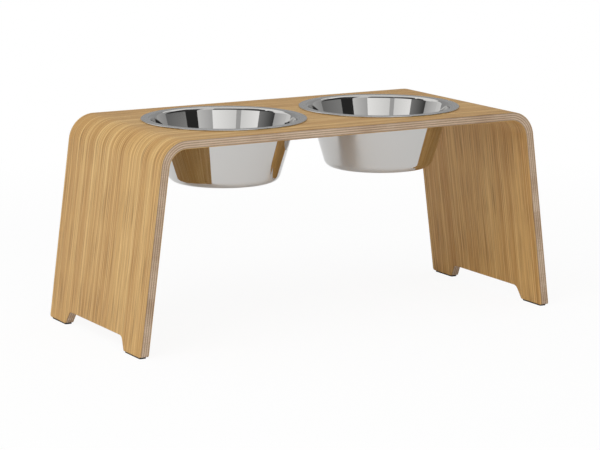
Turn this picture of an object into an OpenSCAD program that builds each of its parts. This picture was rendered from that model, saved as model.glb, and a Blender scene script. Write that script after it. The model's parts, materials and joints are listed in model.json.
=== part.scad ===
// Raised feeding bench for pets. A sheet of oak-faced plywood is bent into a low bench with splayed
// legs, and two steel bowls hang by their rims in round holes in its top.
// The origin is on the floor under the middle of the bench. X runs along the bench, Y from front to
// back and Z up.

/* [Bench] */
// Length over the feet
bench_l = 600; // [500:10:900]
// Height of the top above the floor
bench_h = 262; // [200:2:450]
// Depth from front to back
bench_d = 260; // [240:5:400]
// Lean of the legs away from upright, in degrees
leg_splay = 7.5; // [0:0.5:12]
// Outer radius of the two bends
bend_r = 35; // [20:1:40]

/* [Plywood] */
// Thickness of each oak face veneer
face_t = 0.6; // [0.4:0.1:1.2]
// Thickness of each core ply
core_t = 1.4; // [1:0.1:2]

/* [Feet] */
// Width of the notch between the feet, at the sole
notch_w = 168; // [100:2:180]
// Height of the notch above the sole
notch_h = 16.5; // [10:0.5:40]
// Lean of the notch's sides away from upright, in degrees
notch_lean = 30; // [0:1:45]
// Radius in the notch's upper corners
notch_r = 9; // [4:0.5:9]
// Rounding of each foot's outer corner
foot_r = 3; // [1:0.5:8]

/* [Pads] */
// Thickness of the rubber pads
pad_t = 2; // [1:0.5:5]
// Margin of sole left bare around each pad
pad_margin = 1; // [0.5:0.5:3]
// Corner radius of the pads
pad_r = 2; // [0.5:0.5:3]

/* [Bowls] */
// Distance between the bowls' centres
bowl_pitch = 230; // [216:2:240]
// Diameter over the rim
rim_d = 210; // [200:1:214]
// Diameter of the mouth, where the flat rim begins
mouth_d = 192; // [150:1:196]
// Height from the base to the top of the rim
bowl_h = 80; // [50:1:120]
// Lean of the wall away from upright, in degrees
wall_lean = 16.8; // [5:0.1:20]
// Thickness of the steel
sheet_t = 0.7; // [0.5:0.1:1.2]
// Outer radius between the wall and the base
base_r = 11.3; // [6:0.1:20]
// Radius under the rim, where the wall bends outward
throat_r = 4; // [1.5:0.1:5]
// Height of the rim above the bench, which its rolled edge fills
rim_h = 2; // [1.6:0.1:3]
// Diameter of the panel pushed up in the base
panel_d = 90; // [60:1:94]
// Rise of that panel
panel_rise = 1; // [0.5:0.1:2]
// Gap between the bowl and the hole it hangs in
hole_gap = 1.3; // [0.5:0.1:2]

/* [Hidden] */
$fn = 128;
// How far an arc stands past the flats that it rounds, so that they cross cleanly
bite = 0.005;
// How much the rolled edge is flattened where it stands on the bench
roll_flat = 0.02;
core_plies = 7;
sheet = 2 * face_t + core_plies * core_t;
past = 5;

// The bench's side view, from the sharp corner where the top's plane meets the leg's outer plane
leg_rise = bench_h - pad_t;
corner_x = bench_l / 2 - leg_rise * tan(leg_splay);
bend_turn = 90 - leg_splay;
bend_run = bend_r * tan(bend_turn / 2);
bend_x = corner_x - bend_run;
bend_z = bench_h - bend_r;

// The sole of a foot
sole_w = sheet / cos(leg_splay);
sole_x = bench_l / 2 - sole_w / 2;
sole_y0 = notch_w / 2;
sole_y1 = bench_d / 2 - foot_r;

// The notch, from the centre of its corner arc
notch_cz = pad_t + notch_h - notch_r;
notch_ty = notch_r * cos(notch_lean);
notch_tz = notch_r * sin(notch_lean);
notch_cy = notch_w / 2 - notch_ty - (notch_cz + notch_tz - pad_t) * tan(notch_lean);

// The bowl's section, in radius and height
mouth_r = mouth_d / 2;
rim_top = bench_h + rim_h;
rim_under = rim_top - sheet_t;
roll_r = (rim_h + roll_flat) / 2;
throat_z = rim_under - throat_r;
base_z = rim_top - bowl_h;
base_cz = base_z + base_r;
base_cr = mouth_r - ((throat_z - base_cz) * sin(wall_lean) + throat_r + base_r) / cos(wall_lean);
bowl_top_r = mouth_r - sqrt(pow(throat_r, 2) - pow(bench_h - throat_z, 2));
hole_r = bowl_top_r + hole_gap;

// Rectangle on the Y axis with rounded corners, from x = 0 to w and l long
module rounded_strip(w, l, r) {
    translate([0, r - l / 2]) square([w, l - 2 * r]);
    translate([r, -l / 2]) square([w - 2 * r, l]);
    for (x = [r, w - r], y = [r - l / 2, l / 2 - r])
        translate([x, y]) circle(r);
}

// Everything under a surface that follows the bench's outer face at a depth, d from front to back
module under_surface(depth, d) {
    r = bend_r - depth;
    foot_x = bench_l / 2 + (pad_t + past) * tan(leg_splay) - depth / cos(leg_splay);
    right = [
        [bend_x, bench_h - depth],
        [bend_x + r * cos(leg_splay), bend_z + r * sin(leg_splay)],
        [foot_x, -past]
    ];
    rotate([90, 0, 0]) {
        linear_extrude(d, center = true)
            polygon(concat(right, [for (i = [2:-1:0]) [-right[i][0], right[i][1]]]));
        for (side = [-1, 1])
            translate([side * bend_x, bend_z]) cylinder(r = r + bite, h = d, center = true);
    }
}

// One ply as it comes out of the mould, before anything is cut
module bent_ply(from_t, to_t) {
    difference() {
        under_surface(from_t, bench_d);
        under_surface(to_t, bench_d + 2 * past);
    }
}

// Outline of the notch between the feet, seen along the bench
module notch_outline() {
    polygon([
        [-notch_w / 2, pad_t],
        [-notch_cy - notch_ty, notch_cz + notch_tz],
        [-notch_cy, notch_cz + notch_r],
        [notch_cy, notch_cz + notch_r],
        [notch_cy + notch_ty, notch_cz + notch_tz],
        [notch_w / 2, pad_t]
    ]);
    for (side = [-1, 1])
        translate([side * notch_cy, notch_cz]) circle(notch_r + bite);
}

// What is left outside the rounded outer corners of the feet
module foot_corners() {
    for (side = [0, 1])
        mirror([side, 0]) translate([bench_d / 2 - foot_r, pad_t])
            difference() {
                square([foot_r + past, foot_r]);
                translate([0, foot_r]) circle(foot_r + bite);
            }
}

// All that is sawn off the legs, as one outline pushed along the bench
module leg_trim() {
    translate([-bench_l, 0, 0]) rotate([90, 0, 90]) linear_extrude(2 * bench_l) {
        translate([-bench_d, pad_t - 3 * past]) square([2 * bench_d, 3 * past]);
        notch_outline();
        foot_corners();
    }
}

module bowl_holes() {
    for (side = [-1, 1])
        translate([side * bowl_pitch / 2, 0, bench_h - sheet - past])
            cylinder(r = hole_r, h = sheet + 2 * past);
}

module ply(from_t, to_t) {
    difference() {
        bent_ply(from_t, to_t);
        bowl_holes();
        leg_trim();
    }
}

module face_veneer(from_t) {
    color([0.74, 0.60, 0.40]) ply(from_t, from_t + face_t);
}

// Core plies are counted from the outside, and every second one shows end grain
module core_ply(i) {
    start = face_t + (i - 1) * core_t;
    color(i % 2 == 1 ? [0.58, 0.48, 0.39] : [0.76, 0.66, 0.55]) ply(start, start + core_t);
}

// The disc that the sheet bends around under the rim, grown to a surface inset from the outside
module throat_disc(inset) {
    translate([mouth_r, throat_z]) circle(throat_r + inset + bite);
}

// The half section filled by the bowl, up to a surface inset from its outside
module cup_fill(inset) {
    lean = [cos(wall_lean), -sin(wall_lean)];
    low = [base_cr, base_cz] + (base_r - inset) * lean;
    high = [mouth_r, throat_z] - (throat_r + inset) * lean;
    floor_z = base_z + inset;
    difference() {
        union() {
            polygon([
                [0, floor_z],
                [base_cr, floor_z],
                low,
                high,
                [mouth_r, throat_z],
                [mouth_r, rim_top],
                [0, rim_top]
            ]);
            translate([base_cr, base_cz]) circle(base_r - inset + bite);
        }
        throat_disc(inset);
        polygon([
            [-past, floor_z - past],
            [panel_d / 2 + past, floor_z - past],
            [panel_d / 2 - panel_rise, floor_z + panel_rise],
            [-past, floor_z + panel_rise]
        ]);
    }
}

// The flat rim and the tight roll along its edge, which is all that stands on the bench
module rim_section() {
    translate([mouth_r, rim_under]) square([rim_d / 2 - roll_r - mouth_r, sheet_t]);
    difference() {
        translate([rim_d / 2 - roll_r, rim_top - roll_r]) circle(roll_r + bite);
        translate([mouth_r, bench_h - past]) square([rim_d, past]);
    }
}

module bowl_section() {
    difference() {
        union() {
            cup_fill(0);
            rim_section();
        }
        throat_disc(0);
        cup_fill(sheet_t);
    }
}

// Side is -1 for the left bowl and 1 for the right one
module bowl(side) {
    color([0.78, 0.78, 0.77]) translate([side * bowl_pitch / 2, 0, 0])
        rotate_extrude() bowl_section();
}

module pad(side_x, side_y) {
    l = sole_y1 - sole_y0 - 2 * pad_margin;
    w = sole_w - 2 * pad_margin;
    color([0.08, 0.08, 0.08])
        translate([side_x * sole_x - w / 2, side_y * (sole_y0 + sole_y1) / 2, 0])
            linear_extrude(pad_t) rounded_strip(w, l, pad_r);
}

face_veneer(0);  // outer_face_veneer
core_ply(1);  // core_ply_1
core_ply(2);  // core_ply_2
core_ply(3);  // core_ply_3
core_ply(4);  // core_ply_4
core_ply(5);  // core_ply_5
core_ply(6);  // core_ply_6
core_ply(7);  // core_ply_7
face_veneer(sheet - face_t);  // inner_face_veneer
bowl(-1);  // bowl_left
bowl(1);  // bowl_right
pad(-1, -1);  // pad_left_front
pad(-1, 1);  // pad_left_back
pad(1, -1);  // pad_right_front
pad(1, 1);  // pad_right_back
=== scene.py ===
# Raised feeding bench of bent oak-faced plywood, with two steel bowls hanging in its top
import json
import math

import bpy
from mathutils import Matrix, Vector


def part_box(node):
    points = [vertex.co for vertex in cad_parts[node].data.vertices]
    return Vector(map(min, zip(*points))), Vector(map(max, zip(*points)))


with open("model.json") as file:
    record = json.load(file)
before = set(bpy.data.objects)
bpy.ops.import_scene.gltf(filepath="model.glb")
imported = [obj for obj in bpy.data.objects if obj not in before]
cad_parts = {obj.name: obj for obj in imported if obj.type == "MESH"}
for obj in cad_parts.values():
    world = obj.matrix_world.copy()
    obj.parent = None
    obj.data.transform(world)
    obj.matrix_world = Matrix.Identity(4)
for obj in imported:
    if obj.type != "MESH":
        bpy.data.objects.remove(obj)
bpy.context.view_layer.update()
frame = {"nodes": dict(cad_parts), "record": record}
cadNodes = frame["nodes"]
print("frame loaded:", len(cadNodes), "nodes")


def linearColour(hexCode):
    # sRGB hex to the linear values that Blender's sockets take
    parts = [int(hexCode[i:i + 2], 16) / 255 for i in (1, 3, 5)]
    return [p / 12.92 if p <= 0.04045 else ((p + 0.055) / 1.055) ** 2.4 for p in parts] + [1.0]


def addNode(tree, kind, inputs, **settings):
    # One node with its settings; an input is a plain value or another node's output
    node = tree.nodes.new(kind)
    for name, value in settings.items():
        setattr(node, name, value)
    for socket, value in inputs.items():
        if isinstance(value, bpy.types.NodeSocket):
            tree.links.new(value, node.inputs[socket])
        else:
            node.inputs[socket].default_value = value
    return node


def newMaterial(name):
    mat = bpy.data.materials.new(name)
    mat.use_nodes = True
    mat.node_tree.nodes.clear()
    return mat, mat.node_tree


# The bent sheet of wood, whose figure follows its bends
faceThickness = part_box("outer_face_veneer")[1].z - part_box("core_ply_1")[1].z
bench = {
    "underside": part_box("inner_face_veneer")[1].z - faceThickness,  # height of the top's underside, m
    "driftLength": 0.2,     # m along the grain between its slow wanderings
    "driftWidth": 0.0018,   # how far it wanders sideways, m
    "lacquerIor": 1.5,
    "lacquerShine": 0.35,   # specular level of a satin lacquer
    "reliefDepth": 0.0002,  # m
}


def benchPath(tree):
    # Distance along the bent sheet and distance across it, so the grain runs on round the bends
    place = addNode(tree, "ShaderNodeTexCoord", {})
    axes = addNode(tree, "ShaderNodeSeparateXYZ", {0: place.outputs["Object"]})
    below = addNode(tree, "ShaderNodeMath",
                    {0: bench["underside"], 1: axes.outputs["Z"]}, operation="SUBTRACT")
    drop = addNode(tree, "ShaderNodeMath", {0: below.outputs[0], 1: 0.0}, operation="MAXIMUM")
    side = addNode(tree, "ShaderNodeMath", {0: axes.outputs["X"]}, operation="SIGN")
    along = addNode(tree, "ShaderNodeMath",
                    {0: drop.outputs[0], 1: side.outputs[0], 2: axes.outputs["X"]},
                    operation="MULTIPLY_ADD")
    flat = addNode(tree, "ShaderNodeCombineXYZ", {"X": along.outputs[0], "Y": axes.outputs["Y"]})
    drift = addNode(tree, "ShaderNodeTexNoise",
                    {"Vector": flat.outputs[0], "Scale": 1 / bench["driftLength"], "Detail": 1.0},
                    noise_dimensions="2D")
    across = addNode(tree, "ShaderNodeMath",
                     {0: drift.outputs[0], 1: bench["driftWidth"], 2: axes.outputs["Y"]},
                     operation="MULTIPLY_ADD")
    return along.outputs[0], across.outputs[0], axes


def grainNoise(tree, along, across, marks):
    # Noise drawn out along the grain, with marks of a given length and width
    place = addNode(tree, "ShaderNodeCombineXYZ", {"X": along, "Y": across})
    scaled = addNode(tree, "ShaderNodeVectorMath",
                     {0: place.outputs[0], 1: (1 / marks["length"], 1 / marks["width"], 0),
                      2: (marks["shift"], marks["shift"] * 2, 0)},
                     operation="MULTIPLY_ADD")
    noise = addNode(tree, "ShaderNodeTexNoise",
                    {"Vector": scaled.outputs[0], "Scale": 1.0, "Detail": marks["detail"]},
                    noise_dimensions="2D")
    return noise.outputs[0]


# The face veneers. A noise's marks have a length and width in m, and a shift keeps each noise apart from
# the others. A layer comes in from one value of its noise to another, up to its cover
veneer = {
    "light": "#DCB36E",
    "dark": "#C49551",
    "toneFrom": 0.3,
    "toneTo": 0.7,
    "bands": {"length": 0.9, "width": 0.022, "detail": 2.0, "shift": 3.1},      # veneer flitches
    "rings": {"length": 0.9, "width": 0.0018, "detail": 3.0, "shift": 7.7},     # rings cut at a slant
    # real pores are 0.2 mm wide, drawn coarser so that they show
    "pores": {"length": 0.075, "width": 0.0011, "detail": 1.0, "shift": 11.3},
    "layers": {
        "lateWood": {"noise": "rings", "from": 0.35, "to": 0.68, "cover": 0.42, "colour": "#A5713A"},
        "earlyWood": {"noise": "rings", "from": 0.47, "to": 0.34, "cover": 0.50, "colour": "#F0D193"},
        "openPores": {"noise": "pores", "from": 0.54, "to": 0.72, "cover": 0.60, "colour": "#7E562C"},
    },
    "roughness": 0.42,
    "poreRoughness": 0.57,
    "roughFrom": 0.4,
    "roughTo": 0.75,
    "poreRelief": 0.35,
    "edgeRadius": 0.0009,   # the long edges are eased with abrasive paper, m
}


def makeOakVeneer(look):
    # Rift-cut oak veneer under satin lacquer: straight honey-coloured streaks, short dark pores and a
    # soft sheen
    mat, tree = newMaterial("lacqueredOakVeneer")
    along, across, _ = benchPath(tree)
    noises = {name: grainNoise(tree, along, across, look[name]) for name in ("bands", "rings", "pores")}
    tone = addNode(tree, "ShaderNodeMapRange",
                   {"Value": noises["bands"], "From Min": look["toneFrom"], "From Max": look["toneTo"]})
    wood = addNode(tree, "ShaderNodeMix",
                   {"Factor": tone.outputs[0], "A": linearColour(look["dark"]),
                    "B": linearColour(look["light"])},
                   data_type="RGBA")
    shares = {}
    for name, layer in look["layers"].items():
        share = addNode(tree, "ShaderNodeMapRange",
                        {"Value": noises[layer["noise"]], "From Min": layer["from"],
                         "From Max": layer["to"], "To Max": layer["cover"]})
        wood = addNode(tree, "ShaderNodeMix",
                       {"Factor": share.outputs[0], "A": wood.outputs["Result"],
                        "B": linearColour(layer["colour"])},
                       data_type="RGBA")
        shares[name] = share.outputs[0]
    rough = addNode(tree, "ShaderNodeMapRange",
                    {"Value": noises["pores"], "From Min": look["roughFrom"], "From Max": look["roughTo"],
                     "To Min": look["roughness"], "To Max": look["poreRoughness"]})
    softEdge = addNode(tree, "ShaderNodeBevel", {"Radius": look["edgeRadius"]}, samples=4)
    relief = addNode(tree, "ShaderNodeBump",
                     {"Height": shares["openPores"], "Strength": look["poreRelief"],
                      "Distance": bench["reliefDepth"], "Normal": softEdge.outputs[0]},
                     invert=True)
    shader = addNode(tree, "ShaderNodeBsdfPrincipled",
                     {"Base Color": wood.outputs["Result"], "Roughness": rough.outputs[0],
                      "Normal": relief.outputs[0], "IOR": bench["lacquerIor"],
                      "Specular IOR Level": bench["lacquerShine"]})
    addNode(tree, "ShaderNodeOutputMaterial", {"Surface": shader.outputs[0]})
    return mat


# The plies' edges. Those that run across the bench show end grain, and the others long grain
plyEdge = {
    "patches": {"length": 0.08, "width": 0.05, "detail": 2.0, "shift": 1.5},
    "toneFrom": 0.75,
    "toneTo": 1.25,
    "roughness": 0.55,
    "relief": 0.25,
    "edgeRadius": 0.0003,   # m
    "endGrain": {
        "light": "#B69E86",
        "dark": "#957B62",
        "streaks": {"length": 0.0012, "width": 0.0012, "detail": 3.0, "shift": 5.5},
    },
    "longGrain": {
        "light": "#D8C1A8",
        "dark": "#BEA286",
        "streaks": {"length": 0.02, "width": 0.0009, "detail": 3.0, "shift": 5.5},
    },
}


def makePlyEdge(name, look, grain):
    # Sawn and sanded birch ply edge: end grain is darker and speckled, long grain paler and streaked
    mat, tree = newMaterial(name)
    along, _, axes = benchPath(tree)
    depth = addNode(tree, "ShaderNodeMath", {0: axes.outputs["Z"], 1: axes.outputs["Y"]}, operation="ADD")
    streaks = grainNoise(tree, along, depth.outputs[0], grain["streaks"])
    patches = grainNoise(tree, along, depth.outputs[0], look["patches"])
    mottle = addNode(tree, "ShaderNodeMath", {0: streaks, 1: patches}, operation="ADD")
    tone = addNode(tree, "ShaderNodeMapRange",
                   {"Value": mottle.outputs[0], "From Min": look["toneFrom"], "From Max": look["toneTo"]})
    wood = addNode(tree, "ShaderNodeMix",
                   {"Factor": tone.outputs[0], "A": linearColour(grain["dark"]),
                    "B": linearColour(grain["light"])},
                   data_type="RGBA")
    softEdge = addNode(tree, "ShaderNodeBevel", {"Radius": look["edgeRadius"]}, samples=4)
    relief = addNode(tree, "ShaderNodeBump",
                     {"Height": streaks, "Strength": look["relief"], "Distance": bench["reliefDepth"],
                      "Normal": softEdge.outputs[0]})
    shader = addNode(tree, "ShaderNodeBsdfPrincipled",
                     {"Base Color": wood.outputs["Result"], "Roughness": look["roughness"],
                      "Normal": relief.outputs[0], "IOR": bench["lacquerIor"],
                      "Specular IOR Level": bench["lacquerShine"]})
    addNode(tree, "ShaderNodeOutputMaterial", {"Surface": shader.outputs[0]})
    return mat


oakVeneer = makeOakVeneer(veneer)
endGrainPly = makePlyEdge("sandedEndGrainPly", plyEdge, plyEdge["endGrain"])
longGrainPly = makePlyEdge("sandedLongGrainPly", plyEdge, plyEdge["longGrain"])
print("wood made")


# The bowls' steel
rightBowlLow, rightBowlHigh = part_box("bowl_right")
bowls = {
    "fromMiddle": (rightBowlLow.x + rightBowlHigh.x) / 2,   # from the bench's middle to a bowl's, m
    "rimStart": rightBowlHigh.z - 0.0008,   # height where the flat rim begins, m
    "rimBlend": 0.0006,     # height over which the wall's finish becomes the rim's, m
    "steel": "#CFCECC",
    "polish": 0.035,        # roughness of the drawn and polished wall
    "rimPolish": 0.15,      # the rim is brushed after it is rolled
    "cloudsPerMetre": 35.0,
    "cloudRoughness": 0.01,
    "ringPitch": 0.0009,    # polishing rings, drawn coarser than the real 0.1 mm, m
    "ringRelief": 0.01,
    "ringDepth": 0.0001,    # m
}


def makePolishedSteel(look):
    # Deep-drawn stainless steel: a mirror polish on the wall, and a satin rim that blurs what it mirrors
    mat, tree = newMaterial("polishedStainlessSteel")
    place = addNode(tree, "ShaderNodeTexCoord", {})
    axes = addNode(tree, "ShaderNodeSeparateXYZ", {0: place.outputs["Object"]})
    fromMiddle = addNode(tree, "ShaderNodeMath", {0: axes.outputs["X"]}, operation="ABSOLUTE")
    away = addNode(tree, "ShaderNodeMath",
                   {0: fromMiddle.outputs[0], 1: look["fromMiddle"]}, operation="SUBTRACT")
    flat = addNode(tree, "ShaderNodeCombineXYZ", {"X": away.outputs[0], "Y": axes.outputs["Y"]})
    radius = addNode(tree, "ShaderNodeVectorMath", {0: flat.outputs[0]}, operation="LENGTH")
    section = addNode(tree, "ShaderNodeMath",
                      {0: radius.outputs["Value"], 1: axes.outputs["Z"]}, operation="SUBTRACT")
    rings = addNode(tree, "ShaderNodeTexNoise",
                    {"W": section.outputs[0], "Scale": 1 / look["ringPitch"], "Detail": 2.0},
                    noise_dimensions="1D")
    cloud = addNode(tree, "ShaderNodeTexNoise",
                    {"Vector": place.outputs["Object"], "Scale": look["cloudsPerMetre"], "Detail": 3.0})
    finish = addNode(tree, "ShaderNodeMapRange",
                     {"Value": axes.outputs["Z"], "From Min": look["rimStart"],
                      "From Max": look["rimStart"] + look["rimBlend"],
                      "To Min": look["polish"], "To Max": look["rimPolish"]})
    rough = addNode(tree, "ShaderNodeMath",
                    {0: cloud.outputs[0], 1: look["cloudRoughness"], 2: finish.outputs[0]},
                    operation="MULTIPLY_ADD")
    ringRelief = addNode(tree, "ShaderNodeMapRange",
                         {"Value": finish.outputs[0], "From Min": look["polish"],
                          "From Max": look["rimPolish"], "To Min": look["ringRelief"], "To Max": 0.0})
    relief = addNode(tree, "ShaderNodeBump",
                     {"Height": rings.outputs[0], "Strength": ringRelief.outputs[0],
                      "Distance": look["ringDepth"]})
    shader = addNode(tree, "ShaderNodeBsdfPrincipled",
                     {"Base Color": linearColour(look["steel"]), "Metallic": 1.0,
                      "Roughness": rough.outputs[0], "Normal": relief.outputs[0]})
    addNode(tree, "ShaderNodeOutputMaterial", {"Surface": shader.outputs[0]})
    return mat


polishedSteel = makePolishedSteel(bowls)
print("steel made")


# The pads under the feet
pads = {
    "rubber": "#151413",
    "dust": "#262422",
    "roughness": 0.85,
    "specksPerMetre": 260.0,
    "relief": 0.3,
    "reliefDepth": 0.0002,  # m
}


def makePadRubber(look):
    # Moulded black rubber, matt, a little greyed by dust
    mat, tree = newMaterial("mouldedBlackRubber")
    place = addNode(tree, "ShaderNodeTexCoord", {})
    dust = addNode(tree, "ShaderNodeTexNoise",
                   {"Vector": place.outputs["Object"], "Scale": look["specksPerMetre"], "Detail": 4.0})
    tone = addNode(tree, "ShaderNodeMix",
                   {"Factor": dust.outputs[0], "A": linearColour(look["rubber"]),
                    "B": linearColour(look["dust"])},
                   data_type="RGBA")
    relief = addNode(tree, "ShaderNodeBump",
                     {"Height": dust.outputs[0], "Strength": look["relief"],
                      "Distance": look["reliefDepth"]})
    shader = addNode(tree, "ShaderNodeBsdfPrincipled",
                     {"Base Color": tone.outputs["Result"], "Roughness": look["roughness"],
                      "Normal": relief.outputs[0]})
    addNode(tree, "ShaderNodeOutputMaterial", {"Surface": shader.outputs[0]})
    return mat


padRubber = makePadRubber(pads)
print("rubber made")

finishOfSlot = {
    "oak_face": oakVeneer,
    "cross_ply": endGrainPly,
    "long_ply": longGrainPly,
    "bowl_steel": polishedSteel,
    "pad_rubber": padRubber,
}
for part in frame["record"]["subparts"]:
    for slot in cadNodes[part["node"]].material_slots:
        slot.material = finishOfSlot[part["material_slot"]]
print("materials on the pieces")


# Light, floor and air round the bench
studio = {
    "white": "#FFFFFF",
    "ambient": 0.55,        # the white room's light on matt surfaces
    "target": (0.0, 0.0, 0.20),     # m
    "lampDistance": 3.6,    # m
    "cardColumns": 24,
    "cardRows": 6,
}

# The floor shows plain white. Near the bench the camera sees a little of its real shading, and the steel
# mirrors nearly all of it
floorLook = {
    "size": 14.0,           # m
    "shadowShare": 0.085,   # share of its shading that the camera sees
    "mirrorShare": 0.95,    # share of it that the steel mirrors
    "fadeStart": 0.65,      # m from the middle, where both begin to fade
    "fadeEnd": 1.3,         # m from the middle, past which it is plain white
}

# Azimuth round the bench and elevation are in degrees, width and height in m and power in W
lamps = {
    "keySoftbox": {"azimuth": -71.5, "elevation": 46.0, "width": 2.2, "height": 1.4, "power": 33.0},
    "frontSoftbox": {"azimuth": -29.5, "elevation": 46.0, "width": 2.7, "height": 1.3, "power": 23.0},
}

# What the steel mirrors: the lit faces of the two softboxes, and grey cards beside and above them. A card
# turns from one azimuth to another and stands up to its top. Its foot has an elevation at both ends and
# bows up between them, and its light is the brightness at both ends
plainCard = {"foot": (-1.0, -1.0), "bow": 0.0, "top": 30.0, "distance": 5.0}
cards = {
    "faceKey": {"turn": (-91.0, -59.0), "light": (1.15, 0.92)},
    "faceFront": {"turn": (-51.0, -10.0), "light": (0.90, 1.18)},
    "cardBetween": {"turn": (-59.0, -51.0), "light": (0.50, 0.50)},
    "cardFront": {"turn": (-10.0, 16.5), "top": 45.0, "light": (0.52, 0.76)},
    "cardBlack": {"turn": (16.5, 38.5), "light": (0.03, 0.03)},
    "cardRight": {"turn": (38.5, 82.0), "light": (0.30, 0.19)},
    "cardFarRight": {"turn": (82.0, 110.0), "top": 45.0, "light": (0.37, 0.48)},
    "cardBehind": {"turn": (110.0, 197.0), "top": 36.0, "light": (0.36, 0.36)},
    "cardFarLeft": {"turn": (-163.0, -121.0), "top": 20.0, "light": (0.88, 0.50)},
    "cardLeft": {"turn": (-121.0, -91.0), "light": (0.05, 0.27)},
    # these two hang in front of the others
    "aboveLeft": {"turn": (-125.0, -10.0), "foot": (17.4, 27.5), "bow": 4.4, "top": 60.0,
                  "distance": 4.8, "light": (0.06, 0.11)},
    "aboveRight": {"turn": (16.5, 82.0), "foot": (24.5, 13.0), "bow": 1.0, "top": 60.0,
                   "distance": 4.8, "light": (0.04, 0.04)},
    "overhead": {"turn": (-180.0, 180.0), "foot": (60.0, 60.0), "top": 89.0, "light": (0.75, 0.75)},
}


def spotAround(azimuth, elevation, distance):
    # Azimuth 0 is in front of the bench, and 90 is to its right
    a, e = math.radians(azimuth), math.radians(elevation)
    out = Vector((math.sin(a) * math.cos(e), -math.cos(a) * math.cos(e), math.sin(e)))
    return Vector(studio["target"]) + out * distance


def addLamp(name, look):
    # Matt surfaces see the lamp, and steel sees the cards that stand for its lit face
    spot = spotAround(look["azimuth"], look["elevation"], studio["lampDistance"])
    aim = (Vector(studio["target"]) - spot).to_track_quat("-Z", "Y").to_euler()
    bpy.ops.object.light_add(type="AREA", location=spot, rotation=aim)
    lamp = bpy.context.object
    lamp.name = name
    lamp.data.shape = "RECTANGLE"
    lamp.data.size = look["width"]
    lamp.data.size_y = look["height"]
    lamp.data.energy = look["power"]
    lamp.visible_camera = False
    lamp.visible_glossy = False


def addCard(name, card):
    # A piece of a sphere round the bench, seen in shiny surfaces alone
    bpy.ops.object.select_all(action="DESELECT")
    bpy.ops.mesh.primitive_grid_add(x_subdivisions=studio["cardColumns"],
                                    y_subdivisions=studio["cardRows"], size=1)
    sheet = bpy.context.object
    sheet.name = name
    (firstTurn, lastTurn), (firstFoot, lastFoot) = card["turn"], card["foot"]
    for v in sheet.data.vertices:
        t, rise = v.co.x + 0.5, v.co.y + 0.5
        azimuth = firstTurn + (lastTurn - firstTurn) * t
        foot = firstFoot + (lastFoot - firstFoot) * t + card["bow"] * 4 * t * (1 - t)
        v.co = spotAround(azimuth, foot + (card["top"] - foot) * rise, card["distance"])
    mat, tree = newMaterial(name + "Paper")
    place = addNode(tree, "ShaderNodeTexCoord", {})
    axes = addNode(tree, "ShaderNodeSeparateXYZ", {0: place.outputs["UV"]})
    light = addNode(tree, "ShaderNodeMapRange",
                    {"Value": axes.outputs["X"], "To Min": card["light"][0], "To Max": card["light"][1]})
    paper = addNode(tree, "ShaderNodeEmission",
                    {"Color": linearColour(studio["white"]), "Strength": light.outputs[0]})
    addNode(tree, "ShaderNodeOutputMaterial", {"Surface": paper.outputs[0]})
    sheet.data.materials.append(mat)
    sheet.visible_camera = False
    sheet.visible_diffuse = False
    sheet.visible_shadow = False
    sheet.visible_transmission = False


def seenDirectly(tree):
    # 1 for what the camera, metal or glass sees, 0 for light that falls on matt surfaces
    path = addNode(tree, "ShaderNodeLightPath", {})
    shiny = addNode(tree, "ShaderNodeMath",
                    {0: path.outputs["Is Camera Ray"], 1: path.outputs["Is Glossy Ray"]},
                    operation="MAXIMUM")
    seen = addNode(tree, "ShaderNodeMath",
                   {0: shiny.outputs[0], 1: path.outputs["Is Transmission Ray"]}, operation="MAXIMUM")
    return seen.outputs[0]


def makeWorld():
    world = bpy.data.worlds.new("whiteRoom")
    world.use_nodes = True
    tree = world.node_tree
    tree.nodes.clear()
    strength = addNode(tree, "ShaderNodeMapRange",
                       {"Value": seenDirectly(tree), "To Min": studio["ambient"], "To Max": 1.0})
    light = addNode(tree, "ShaderNodeBackground",
                    {"Color": linearColour(studio["white"]), "Strength": strength.outputs[0]})
    addNode(tree, "ShaderNodeOutputWorld", {"Surface": light.outputs[0]})
    bpy.context.scene.world = world


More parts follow.
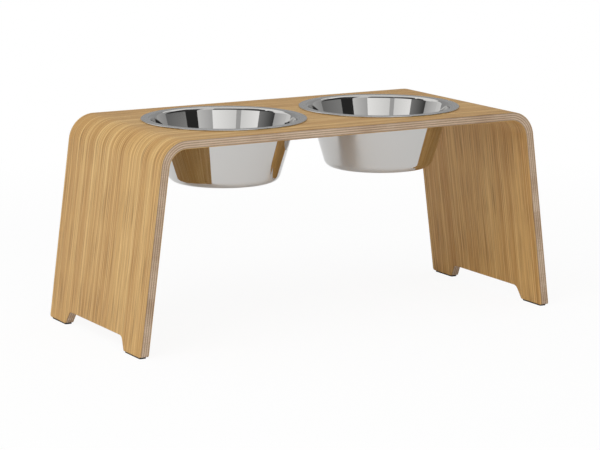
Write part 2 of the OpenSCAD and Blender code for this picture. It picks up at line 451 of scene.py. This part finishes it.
def makeFloor(look):
    # White paint, which shows plain white except near the bench
    bpy.ops.object.select_all(action="DESELECT")
    bpy.ops.mesh.primitive_plane_add(size=look["size"], location=(0, 0, 0))
    floor = bpy.context.object
    floor.name = "studioFloor"
    mat, tree = newMaterial("whitePaintedFloor")
    matt = addNode(tree, "ShaderNodeBsdfDiffuse", {"Color": linearColour(studio["white"])})
    glow = addNode(tree, "ShaderNodeEmission", {"Color": linearColour(studio["white"]), "Strength": 1.0})
    path = addNode(tree, "ShaderNodeLightPath", {})
    shading = addNode(tree, "ShaderNodeMapRange",
                      {"Value": path.outputs["Is Glossy Ray"], "To Min": look["shadowShare"],
                       "To Max": look["mirrorShare"]})
    place = addNode(tree, "ShaderNodeTexCoord", {})
    away = addNode(tree, "ShaderNodeVectorMath", {0: place.outputs["Object"]}, operation="LENGTH")
    near = addNode(tree, "ShaderNodeMapRange",
                   {"Value": away.outputs["Value"], "From Min": look["fadeStart"],
                    "From Max": look["fadeEnd"], "To Min": 1.0, "To Max": 0.0})
    shaded = addNode(tree, "ShaderNodeMath",
                     {0: near.outputs[0], 1: shading.outputs[0]}, operation="MULTIPLY")
    plain = addNode(tree, "ShaderNodeMath", {0: 1.0, 1: shaded.outputs[0]}, operation="SUBTRACT")
    share = addNode(tree, "ShaderNodeMath",
                    {0: seenDirectly(tree), 1: plain.outputs[0]}, operation="MULTIPLY")
    mixed = addNode(tree, "ShaderNodeMixShader",
                    {0: share.outputs[0], 1: matt.outputs[0], 2: glow.outputs[0]})
    addNode(tree, "ShaderNodeOutputMaterial", {"Surface": mixed.outputs[0]})
    floor.data.materials.append(mat)


makeWorld()
makeFloor(floorLook)
for name, look in lamps.items():
    addLamp(name, look)
for name, changes in cards.items():
    addCard(name, {**plainCard, **changes})
print("studio made")


# The view of the photograph
camera = {
    "spot": (-1.568304, -2.691678, 0.71424),   # m
    "turn": 30.169,         # heading to the right of straight on, degrees
    "tilt": -10.89,         # degrees above the horizon
    "roll": 0.14,           # degrees
    "lens": 146.961,        # mm
    "frameWidth": 36.0,     # mm
    "reach": 50.0,          # m
}


def addCamera(look):
    turn, tilt, roll = (math.radians(look[k]) for k in ("turn", "tilt", "roll"))
    ahead = Vector((math.sin(turn) * math.cos(tilt), math.cos(turn) * math.cos(tilt), math.sin(tilt)))
    right = Vector((math.cos(turn), -math.sin(turn), 0))
    up = right.cross(ahead)
    rolledRight = right * math.cos(roll) + up * math.sin(roll)
    rolledUp = up * math.cos(roll) - right * math.sin(roll)
    turned = Matrix((rolledRight, rolledUp, -ahead)).transposed()
    bpy.ops.object.camera_add(location=look["spot"], rotation=turned.to_euler())
    cam = bpy.context.object
    cam.data.sensor_width = look["frameWidth"]
    cam.data.lens = look["lens"]
    cam.data.clip_end = look["reach"]
    bpy.context.scene.camera = cam


addCamera(camera)
bpy.context.scene.view_settings.view_transform = "Standard"
print("camera set")
